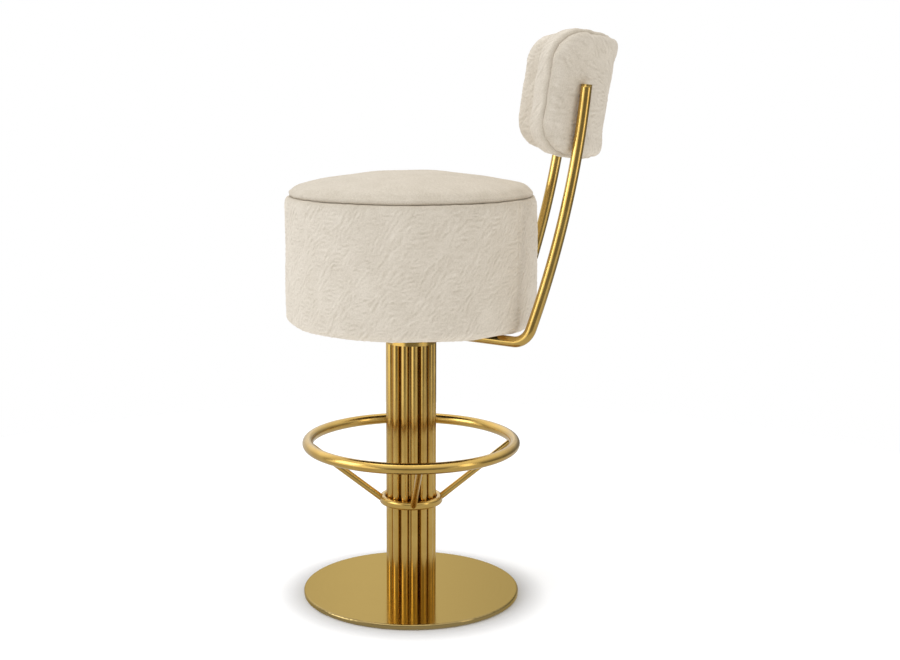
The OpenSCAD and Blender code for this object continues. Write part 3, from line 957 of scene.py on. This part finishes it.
    def build(self) -> None:
        """Builds both covers."""
        shy = self.shy
        swollen = self.swell()
        self.cover("seat_side_boucle", ("side_cover", "side_foam"), self.side_profile(shy, self.step), swollen)
        self.cover("seat_top_boucle", ("top_cover", "top_foam"), self.top_profile(shy, self.step), swollen)

    def cover(
        self, name: str, nodes: tuple[str, ...], profile: np.ndarray,
        swollen: tuple[np.ndarray, np.ndarray] | None,
    ) -> None:
        """Builds a cover, lets it follow the swollen drum, sews its seam and raises its relief.

        Args:
            name: Its name.
            nodes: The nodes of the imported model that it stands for.
            profile: Its outline.
            swollen: The coarse drum's points and how far each one moved, if it was blown up.
        """
        is_side = "side_cover" in nodes
        along = arc_length(profile)
        around = math.ceil(2 * math.pi * self.radius / self.step)
        piece = self.revolve(name, profile, self.step, False, not is_side)
        along_all = np.repeat(along, around)
        points = points_of(piece.data)
        angle = np.arctan2(points[:, 1], points[:, 0])
        if swollen:
            self.stuffing.follow(piece, *swollen)
        off = np.maximum(along[-4] - along_all if is_side else along_all - along[3], 0)
        lip = self.side_lip if is_side else self.top_lip
        out = self.seam.draw_in(points_of(piece.data), off, lip) + self.waves.at(points)
        push(piece, out + self.joins(points) if is_side else out)
        across, up = (angle * self.radius, along_all) if is_side else (points[:, 0], points[:, 1])
        middle = bell(np.hypot(points[:, 0], points[:, 1]), self.middle)
        share = self.seam.relief_left(off) * (1.0 if is_side else self.top_relief)
        self.relief.raise_on(piece, across, up, share * (1 - middle), self.top_relief / 2 * middle)
        turn = angle[:around]
        inward = -self.seam.tuck * np.column_stack([np.cos(turn), np.sin(turn), np.zeros(around)])
        clear = np.array([0, 0, -self.seam.gap if is_side else self.seam.gap])
        self.seam.fold_in(piece, around, is_side, inward, clear)
        self.keep(piece, Body.SEAT, BOUCLE, *nodes)


@dataclass
class BackRods(SubAssembly):
    """Two bent brass rods from the carrier under the seat up to the back pad."""

    radius: float = 9.5 * MM
    gap: float = 300 * MM
    stand_off: float = 22 * MM
    bend: float = 33 * MM
    sweep: float = 1800 * MM
    lean: float = 18.6
    seat_end: float = 36 * MM
    sides: int = 40
    step: float = 6 * MM
    rim: float = 1.6 * MM

    def centre_line(self) -> tuple[np.ndarray, np.ndarray]:
        """The +X side's centre line.

        Returns:
            Its points, and its direction at each one.
        """
        low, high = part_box("back_rod_left")
        level = low.z + self.radius
        x = self.gap / 2
        rim_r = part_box("side_cover")[1].x + self.stand_off
        corner = np.array([x, math.sqrt(rim_r ** 2 - x ** 2), level])
        run = np.array([corner[0], corner[1], 0]) / rim_r
        lean = math.radians(self.lean)
        up = np.array([0, math.sin(lean), math.cos(lean)])
        turn = math.acos(run @ up)
        tangent = self.bend * math.tan(turn / 2)
        inward = (up - math.cos(turn) * run) / math.sin(turn)
        places, ways = [], []
        for share in np.linspace(self.seat_end / (rim_r - tangent), 1, 24):
            places.append(run * share * (rim_r - tangent) + (0, 0, level))
            ways.append(run)
        for a in np.linspace(0, turn, 18)[1:]:
            arc_part = math.sin(a) * run + (1 - math.cos(a)) * inward
            places.append(corner - tangent * run + self.bend * arc_part)
            ways.append(math.cos(a) * run + math.sin(a) * inward)
        foot = places[-1]
        for z in np.arange(foot[2] + self.step, high.z, self.step).tolist() + [high.z]:
            a = math.asin(math.sin(lean) - (z - foot[2]) / self.sweep)
            places.append(np.array([x, foot[1] + self.sweep * (math.cos(a) - math.cos(lean)), z]))
            ways.append(np.array([0, math.sin(a), math.cos(a)]))
        return np.array(places), np.array(ways)

    def rod(self, name: str, mirror: int) -> Object:
        """Sweeps a round section along the centre line, with a rounded rim at the upper end.

        Args:
            name: The rod's name.
            mirror: 1 for the +X side, -1 for the other.

        Returns:
            The rod.
        """
        places, ways = self.centre_line()
        sizes = np.full(len(places), self.radius)
        end, way = places[-1], ways[-1]
        rounding = np.radians(np.linspace(0, 90, 7))[1:]
        places[-1] = end - way * self.rim
        places = np.vstack([places, [end - way * self.rim * (1 - math.sin(a)) for a in rounding]])
        ways = np.vstack([ways, np.repeat(way[None], len(rounding), 0)])
        sizes = np.concatenate([sizes, [self.radius - self.rim * (1 - math.cos(a)) for a in rounding]])
        across = np.array([1.0, 0, 0]) - ways[:, :1] * ways
        across /= np.linalg.norm(across, axis=1, keepdims=True)
        other = np.cross(ways, across)
        angle = np.linspace(0, 2 * math.pi, self.sides, endpoint=False)[None, :, None]
        rings = places[:, None] + sizes[:, None, None] * (
            np.cos(angle) * across[:, None] + np.sin(angle) * other[:, None])
        return ring_mesh(name, rings * (mirror, 1, 1), True, True)

    def build(self) -> None:
        """Builds both rods."""
        for side, mirror in (("left", 1), ("right", -1)):
            piece = self.rod(f"brass_rod_{side}", mirror)
            self.keep(piece, Body.SEAT, POLISHED_BRASS, f"back_rod_{side}")


@dataclass
class BackPad(SubAssembly):
    """The curved back pad's cover: a front half and a rear panel, sewn together along the edge."""

    outer_r: float = 193 * MM
    thickness: float = 62 * MM
    half_length: float = 195 * MM
    half_height: float = 109 * MM
    corner: float = 62 * MM
    edge: float = 24 * MM
    lean: float = 8.0
    shy: float = 3 * MM
    step: float = 2.4 * MM
    seam_at: float = 18 * MM
    seam: Seam = Seam(
        1.6 * MM, 2.4 * MM, Unevenness(20 * MM, 0.6 * MM, 17), 16 * MM, 6 * MM, 5 * MM, 14 * MM, 0.4 * MM)
    front_roll: float = 0.8 * MM
    rear_roll: float = 0.1 * MM
    full_top: float = 0.1
    middle: float = 14 * MM
    rod_along: float = 135 * MM
    rod_width: float = 9 * MM
    rod_sink: float = 4 * MM
    rod_give: float = 0.6
    rod_fade: float = 8 * MM
    held_width: float = 5 * MM
    board_hold: float = 0.75
    board_rim: tuple[float, float] = (-30 * MM, -55 * MM)
    coarse_inset: float = 1.5 * MM
    slant: tuple[float, float] = (0.7, -0.6)
    waves: Unevenness = Unevenness(80 * MM, 0.7 * MM, 23)
    relief: Relief = Relief(seed=31)
    stuffing: Stuffing = Stuffing(cap=5 * MM, slack=0.04)

    def __post_init__(self) -> None:
        """Takes the pad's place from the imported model's rear panel."""
        points = points_of(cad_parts["back_rear_cover"].data)
        lean = math.radians(self.lean)
        self.back = np.array([0, math.cos(lean), -math.sin(lean)])
        self.up = np.array([0, math.sin(lean), math.cos(lean)])
        rise = points @ self.up
        behind = (points @ self.back).max() - self.outer_r
        self.centre = self.back * behind + self.up * (rise.max() + rise.min()) / 2

    def outline(self, inset: float, around: int) -> np.ndarray:
        """The pad's outline laid flat, with rounded corners.

        Args:
            inset: How far inside the edge it runs.
            around: The number of points.

        Returns:
            Points as distance along the pad and height.
        """
        corners = []
        for start, side, top in ((0, 1, 1), (90, -1, 1), (180, -1, -1), (270, 1, -1)):
            centre = (side * (self.half_length - self.corner), top * (self.half_height - self.corner))
            corners.append(arc(centre, self.corner, start, start + 90, 2 * MM))
        path = np.vstack([*corners, corners[0][:1]])
        along = arc_length(path)
        spots = np.linspace(0, along[-1], around, endpoint=False)
        loop = np.column_stack([np.interp(spots, along, path[:, i]) for i in range(2)])
        tangent = np.roll(loop, -1, 0) - np.roll(loop, 1, 0)
        tangent /= np.linalg.norm(tangent, axis=1, keepdims=True)
        return loop - inset * np.column_stack([tangent[:, 1], -tangent[:, 0]])

    def rings(self, shy: float, step: float) -> tuple[np.ndarray, np.ndarray]:
        """The whole cover as rings, from the front's middle round the edge to the rear's middle.

        Args:
            shy: How far inside the finished surface it lies.
            step: The distance between points.

        Returns:
            Points laid flat as (rings, around, 3), with depth towards the rear last, and each
            ring's distance from the seam.
        """
        around = math.ceil(2 * (self.half_length + self.half_height) * 1.8 / step)
        deep = self.thickness / 2 - shy
        round_r = self.edge - shy
        inner = np.linspace(0.02, 1, math.ceil(self.half_height / step))[:-1]
        roll = np.radians(np.linspace(-90, 0, math.ceil(math.pi / 2 * round_r / step)))
        flat = np.linspace(-(deep - round_r), deep - round_r, 5)[1:-1]
        face = self.outline(shy + round_r, around)
        rolled = [
            (self.outline(shy + round_r * (1 - math.cos(a)), around), round_r * math.sin(a)) for a in roll]
        stack = [(face * share, -deep) for share in inner]
        stack += [(loop, out - deep + round_r) for loop, out in rolled]
        stack += [(self.outline(shy, around), depth) for depth in flat]
        stack += [(loop, deep - round_r - out) for loop, out in rolled[::-1]]
        stack += [(face * share, deep) for share in inner[::-1]]
        laid = np.array([np.column_stack([loop, np.full(around, depth)]) for loop, depth in stack])
        laid[..., 1] += self.full_top * laid[..., 2] * smoothstep(20 * MM, self.half_height, laid[..., 1])
        path = np.array([(np.abs(loop[:, 0]).max(), depth) for loop, depth in stack])
        along = arc_length(path)
        on_face = path[:, 0] < self.half_length - self.edge
        return laid, along - along[np.argmin(np.abs(path[:, 1] - self.seam_at) + on_face)]

    def bend(self, laid: np.ndarray) -> np.ndarray:
        """Bends flat points round the sitter's back, and leans them.

        Args:
            laid: Points laid flat: distance along, height, depth towards the rear.

        Returns:
            The same points in the frame.
        """
        middle = self.outer_r - self.thickness / 2
        angle = laid[..., 0] / middle
        reach = middle + laid[..., 2]
        side = reach * np.sin(angle)
        return (self.centre + side[..., None] * np.array([1, 0, 0])
                + (reach * np.cos(angle))[..., None] * self.back + laid[..., 1:2] * self.up)

    def lay_flat(self, points: np.ndarray) -> np.ndarray:
        """Undoes bend for points in the frame."""
        local = points - self.centre
        back, height = local @ self.back, local @ self.up
        middle = self.outer_r - self.thickness / 2
        angle = np.arctan2(local[:, 0], back)
        return np.column_stack([angle * middle, height, np.hypot(local[:, 0], back) - middle])

    def swell(self) -> tuple[np.ndarray, np.ndarray]:
        """Blows up a coarse pad that is held along its seam and where it meets the rods.

        Returns:
            The coarse pad's points before, and how far each one moved.
        """
        laid, _ = self.rings(self.shy + self.coarse_inset, self.stuffing.voxel)
        coarse = ring_mesh("coarse_pad", self.bend(laid), True, True)

        def held(points: np.ndarray) -> np.ndarray:
            """The seam is held, and the rear panel where it lies on the board."""
            flat = self.lay_flat(points)
            along, height, depth = flat.T
            rim = np.maximum(np.abs(along) - self.half_length, np.abs(height) - self.half_height)
            at_seam = bell(depth - self.seam_at, self.held_width) * (rim > -self.corner / 2)
            on_board = self.board_hold * (depth > self.thickness / 4) * smoothstep(*self.board_rim, rim)
            return np.clip(at_seam + on_board, 0, 1)

        return self.stuffing.swell(coarse, held)

    def against_rods(self, flat: np.ndarray) -> np.ndarray:
        """How the rear panel swells out to the rods and gives way under them.

        Args:
            flat: Points laid flat: distance along, height, depth towards the rear.

        Returns:
            How far each vertex goes outwards.
        """
        along, height, depth = flat.T
        rear = smoothstep(0.6, 0.98, depth / (self.thickness / 2 - self.shy))
        below_end = smoothstep(self.rod_fade, -self.rod_fade, height)
        under_rod = bell(np.abs(along) - self.rod_along, self.rod_width) * below_end
        return rear * self.rod_sink * (1 - self.rod_give * under_rod)

    def build(self) -> None:
        """Builds both halves, lets them follow the swollen pad, sews the seam and raises the relief."""
        laid, from_seam = self.rings(self.shy, self.step)
        around = laid.shape[1]
        swollen = self.swell()
        cut = int(np.argmin(np.abs(from_seam)))
        behind = laid[cut].copy()
        behind[:, :2] *= 1 - self.seam.tuck / self.half_height
        inward = self.bend(behind) - self.bend(laid[cut])
        front_nodes = ("back_front_cover", "back_foam")
        for name, nodes, part, roll, is_front in (
            ("back_front_boucle", front_nodes, slice(0, cut + 4), self.front_roll, True),
            ("back_rear_boucle", ("back_rear_cover",), slice(cut - 3, len(laid)), self.rear_roll, False),
        ):
            flat = laid[part].reshape(-1, 3)
            piece = ring_mesh(name, self.bend(laid[part]), is_front, not is_front)
            if swollen:
                self.stuffing.follow(piece, *swollen)
            off = np.abs(np.repeat(from_seam[part], around))
            points = points_of(piece.data)
            drawn = self.seam.draw_in(points, off, roll)
            push(piece, drawn + self.waves.at(points) + self.against_rods(flat))
            across, up = (flat[:, i] + self.slant[i] * flat[:, 2] for i in range(2))
            middle = bell(np.hypot(flat[:, 0], flat[:, 1]), self.middle)
            share = self.seam.relief_left(off) * (1 - middle)
            self.relief.raise_on(piece, across, up, share, 0.5 * middle)
            gap = (0, 0, -self.seam.gap if is_front else self.seam.gap)
            clear = self.bend(laid[cut] + gap) - self.bend(laid[cut])
            self.seam.fold_in(piece, around, is_front, inward, clear)
            self.keep(piece, Body.SEAT, BOUCLE, *nodes)


# ---------------------------------------------------------------------------- the studio


@dataclass
class Studio:
    """A white sweep, soft boxes and the camera."""

    eye: tuple[float, float, float] = (2.5697, 0.0, 0.9437)
    look_down: float = 9.876
    lens: float = 57.39
    shift: float = 0.0432
    floor_radius: float = 1.6
    floor_glow: float = 0.36
    # Between these radii the floor's glow rises from none at the base plate: a painted contact shadow.
    shade: tuple[float, float] = (0.2, 0.27)
    mirrored_floor: str = "#CDCDCD"
    sky: float = 0.7
    cards: tuple = (
        ((0.45, -0.87, -0.17), 38.0, 1.2), ((0.55, 0.82, -0.17), 24.0, 0.5), ((-0.8, -0.6, 0.0), 50.0, 0.5),
        ((-0.92, 0.2, 0.35), 16.0, 0.2),
    )
    lamps: tuple = (
        ("key", (1.0, -2.7, 1.5), (1.4, 1.8), 23, "#F0F5FF"),
        ("fill", (1.6, 2.6, 1.0), (0.7, 1.8), 6, "#FFF6EA"),
        ("top", (0.0, -0.3, 3.0), (2.0, 2.0), 19, "#FFFFFF"),
    )
    aim: tuple[float, float, float] = (0.0, 0.0, 0.6)
    horizon: tuple = ((0.0, 0.0), (0.15, 0.08), (0.6, 0.75))
    haze: float = 0.21

    def soft_box(
        self, name: str, place: tuple[float, float, float], size: tuple[float, float], power: float,
        colour: str,
    ) -> None:
        """Adds a rectangular lamp that faces the stool.

        Args:
            name: Its name.
            place: Where it stands.
            size: Its width and height.
            power: Its power in watts.
            colour: Its colour.
        """
        lamp = bpy.data.lights.new(name, "AREA")
        lamp.shape = "RECTANGLE"
        lamp.size, lamp.size_y = size
        lamp.energy = power
        lamp.color = linear(colour)[:3]
        holder = bpy.data.objects.new(name, lamp)
        bpy.context.scene.collection.objects.link(holder)
        holder.location = place
        holder.rotation_euler = (Vector(self.aim) - Vector(place)).to_track_quat("-Z", "Y").to_euler()

    def build_floor(self) -> None:
        """Lays the pale floor. Its glow is cut away round the base plate as a painted contact shadow, and
        glossy rays see it as a flat grey glow.
        """
        angle = np.linspace(0, 2 * math.pi, 96, endpoint=False)
        rim = self.floor_radius * np.column_stack([np.cos(angle), np.sin(angle), np.zeros_like(angle)])
        floor = make_object("floor", rim, [tuple(range(len(rim)))])
        made = bpy.data.materials.new("matt_white_sweep")
        made.use_nodes = True
        tree = made.node_tree
        place = add_node(tree, "TexCoord", {}).outputs["Object"]
        far = add_node(tree, "VectorMath", {0: place}, operation="LENGTH").outputs["Value"]
        # The glow fades out round the base plate: a painted contact shadow on the floor.
        rise = {0: far, 1: self.shade[0], 2: self.shade[1], 3: 0.0, 4: self.floor_glow}
        glow = add_node(tree, "MapRange", rise, interpolation_type="SMOOTHSTEP")
        shader = tree.nodes["Principled BSDF"]
        fill(tree, shader, {
            "Base Color": linear("#F4F4F4"), "Roughness": 0.9, "Specular IOR Level": 0.1,
            "Emission Color": (1, 1, 1, 1), "Emission Strength": glow.outputs[0],
        })
        grey = add_node(tree, "Emission", {"Color": linear(self.mirrored_floor)})
        mirrored = add_node(tree, "LightPath", {}).outputs["Is Glossy Ray"]
        both = add_node(tree, "MixShader", {0: mirrored, 1: shader.outputs[0], 2: grey.outputs[0]})
        fill(tree, tree.nodes["Material Output"], {"Surface": both.outputs[0]})
        floor.data.materials.append(made)

    def build_world(self) -> None:
        """Sets the white surroundings, darker near the horizon where the brass reflects them."""
        world = bpy.data.worlds.new("white_studio")
        bpy.context.scene.world = world
        world.use_nodes = True
        tree = world.node_tree
        tree.nodes.clear()
        way = add_node(tree, "TexCoord", {}).outputs["Generated"]
        height = add_node(tree, "SeparateXYZ", {0: way}).outputs["Z"]
        ramp = add_node(tree, "ValToRGB", {0: height})
        for stop, grey in self.horizon:
            spot = ramp.color_ramp.elements[0] if stop == 0 else ramp.color_ramp.elements.new(stop)
            spot.color = (grey, grey, grey, 1)
        glow = ramp.outputs["Color"]
        added = []
        for card, wide, bright in self.cards:
            facing = add_node(tree, "VectorMath", {0: way, 1: card}, operation="DOT_PRODUCT")
            edge = math.cos(math.radians(wide))
            rise = {0: facing.outputs["Value"], 1: edge, 2: (1 + edge) / 2, 3: 0.0, 4: bright}
            added.append(add_node(tree, "MapRange", rise, interpolation_type="SMOOTHSTEP").outputs[0])
        for light in (*added, (self.haze, self.haze, self.haze, 1)):
            both = {0: 1.0, 6: glow, 7: light}
            glow = add_node(tree, "Mix", both, data_type="RGBA", blend_type="ADD").outputs[2]
        path = add_node(tree, "LightPath", {}).outputs
        mirrored = add_node(tree, "Background", {"Color": glow, "Strength": 1.0}).outputs[0]
        lit = add_node(tree, "Background", {"Color": (1, 1, 1, 1), "Strength": self.sky}).outputs[0]
        seen = add_node(tree, "Background", {"Color": (1, 1, 1, 1), "Strength": 1.0}).outputs[0]
        away = add_node(tree, "MixShader", {0: path["Is Glossy Ray"], 1: lit, 2: mirrored}).outputs[0]
        both = add_node(tree, "MixShader", {0: path["Is Camera Ray"], 1: away, 2: seen}).outputs[0]
        add_node(tree, "OutputWorld", {0: both})

    def build_camera(self) -> None:
        """Sets up the camera."""
        camera = bpy.data.cameras.new("camera")
        camera.lens = self.lens
        camera.sensor_width = 36
        camera.shift_x = self.shift
        camera.dof.use_dof = False
        holder = bpy.data.objects.new("camera", camera)
        bpy.context.scene.collection.objects.link(holder)
        holder.location = self.eye
        holder.rotation_euler = (math.radians(90 - self.look_down), 0, math.radians(90))
        bpy.context.scene.camera = holder

    def build(self) -> None:
        """Builds the whole studio."""
        bpy.context.scene.view_settings.view_transform = "Standard"
        self.build_floor()
        self.build_world()
        self.build_camera()
        for lamp in self.lamps:
            self.soft_box(*lamp)


def main() -> None:
    """Builds every sub-assembly in order, and reports its pieces."""
    logging.basicConfig(level=logging.INFO, format="%(name)s: %(message)s")
    Studio().build()
    for group in (Pedestal(), SeatFrame(), DrumSeat(), BackRods(), BackPad()):
        group.build()
        LOG.info("%s: %s", type(group).__name__, ", ".join(piece.name for piece in group.built))


if __name__ == "__main__":
    main()
